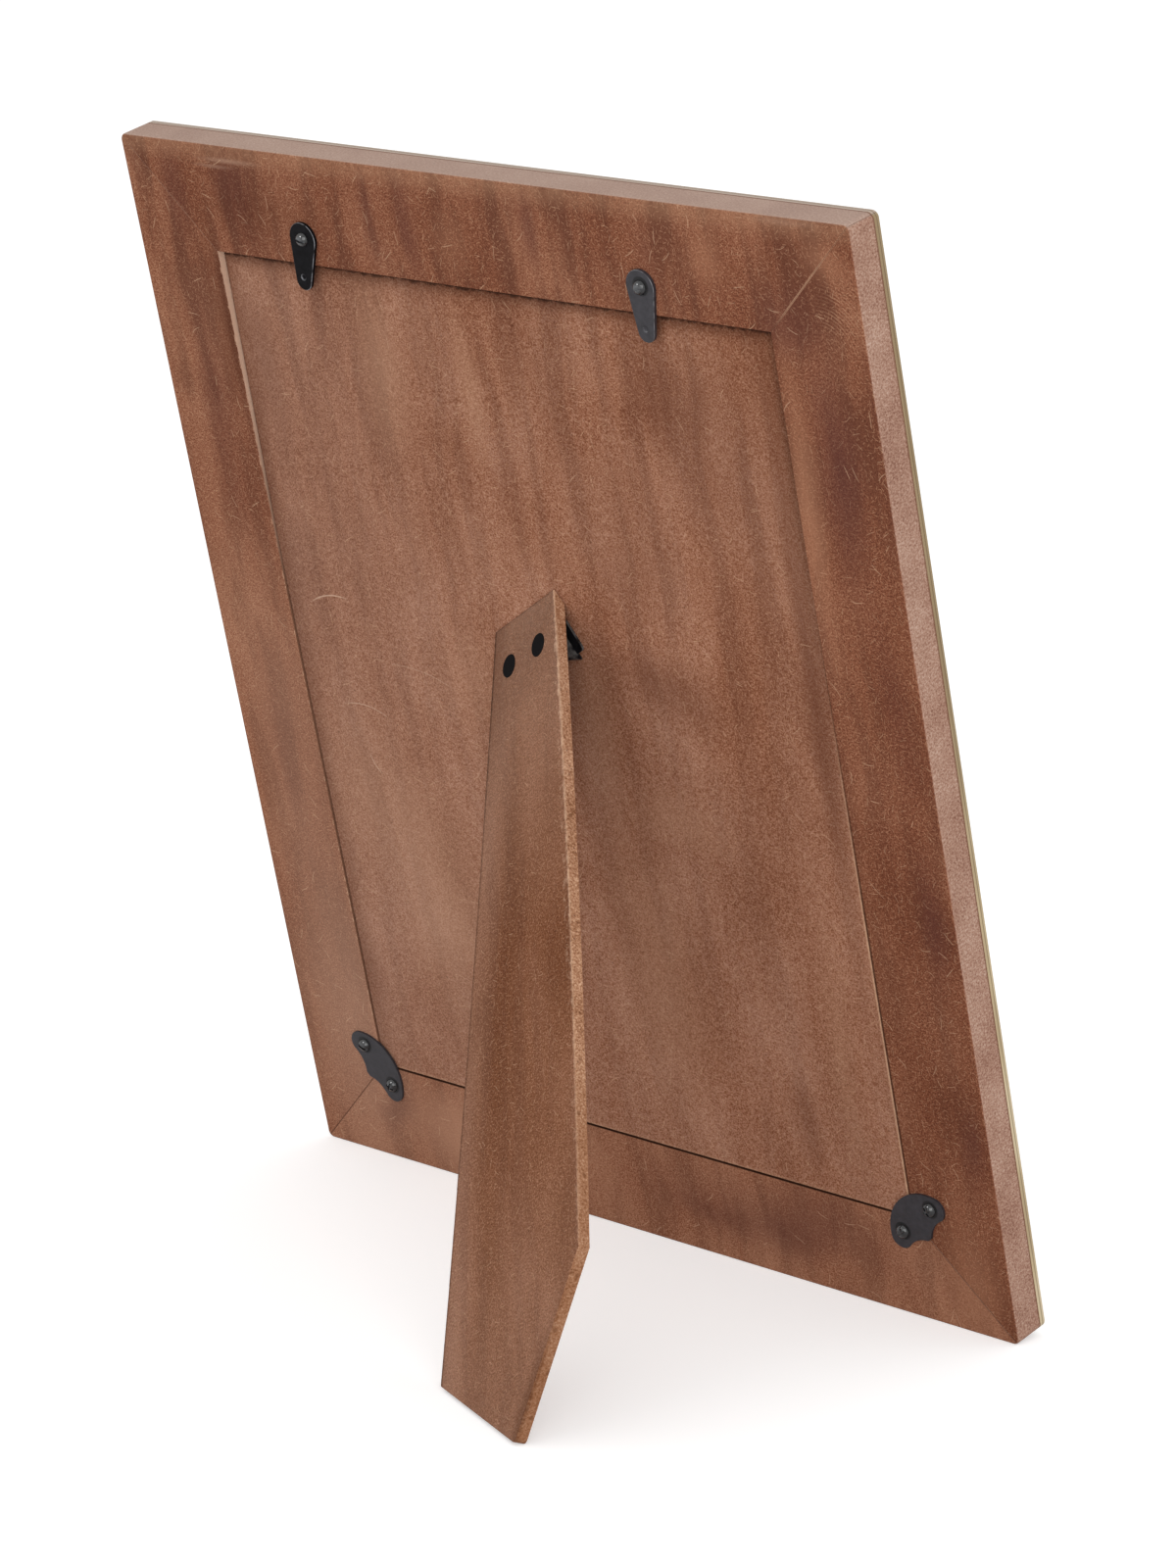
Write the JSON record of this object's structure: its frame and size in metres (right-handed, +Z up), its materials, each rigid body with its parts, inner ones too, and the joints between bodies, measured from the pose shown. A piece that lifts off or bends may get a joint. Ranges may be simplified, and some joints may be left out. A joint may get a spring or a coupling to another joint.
{
  "type": "easel back picture frame",
  "caption": "Standing picture frame with mitred fibreboard rails, a glazed front, a lift-out back held by turn buttons and corner plates, and a folding easel leg on a slanted hinge.",
  "frame": {"origin": "on the table under the middle of the whole object, frame and open leg together", "axes": "+Z up, the picture faces -Y, the leg stands out towards +Y, +X to the viewer's right seen from the front"},
  "size_m": [0.269, 0.1578, 0.3135],
  "materials": {
    "stained_board": "stained medium-density fibreboard",
    "back_board": "stained fibreboard",
    "leg_board": "stained fibreboard",
    "painted_facing": "painted, satin",
    "glass": "clear float glass",
    "print_paper": "plain photographic paper",
    "black_steel": "blackened sheet steel",
    "black_fasteners": "glossy black steel"
  },
  "bodies": {
    "frame": {"rail_top": "stained_board", "facing_top": "painted_facing", "rail_bottom": "stained_board", "facing_bottom": "painted_facing", "rail_left": "stained_board", "facing_left": "painted_facing", "rail_right": "stained_board", "facing_right": "painted_facing", "glass_pane": "glass", "photo_insert": "print_paper", "backboard": "back_board", "corner_plate_left": "black_steel", "corner_plate_right": "black_steel", "hinge_board_bracket": "black_steel", "turn_button_screw_left": "black_fasteners", "turn_button_screw_right": "black_fasteners", "corner_screws_left": "black_fasteners", "corner_screws_right": "black_fasteners", "bracket_rivets": "black_fasteners", "hinge_pin": "black_fasteners"},
    "leg": {"easel_leg": "leg_board", "hinge_leg_leaf": "black_steel", "leg_rivets": "black_fasteners"},
    "turn_button_left": {"turn_button_left": "black_steel"},
    "turn_button_right": {"turn_button_right": "black_steel"}
  },
  "joints": [
    {"name": "leg_hinge", "type": "hinge", "parent": "frame", "child": "leg", "pos_m": [-0.0024, -0.01931, 0.17427], "axis": [-0.8387, 0.1267, 0.5297], "range_deg": [0, 38.5]},
    {"name": "turn_button_left_pivot", "type": "hinge", "parent": "frame", "child": "turn_button_left", "pos_m": [0.0657, 0.00146, 0.28754], "axis": [0, 0.9726, -0.2326], "continuous": true},
    {"name": "turn_button_right_pivot", "type": "hinge", "parent": "frame", "child": "turn_button_right", "pos_m": [-0.0602, 0.00146, 0.28754], "axis": [0, 0.9726, -0.2326], "continuous": true}
  ]
}
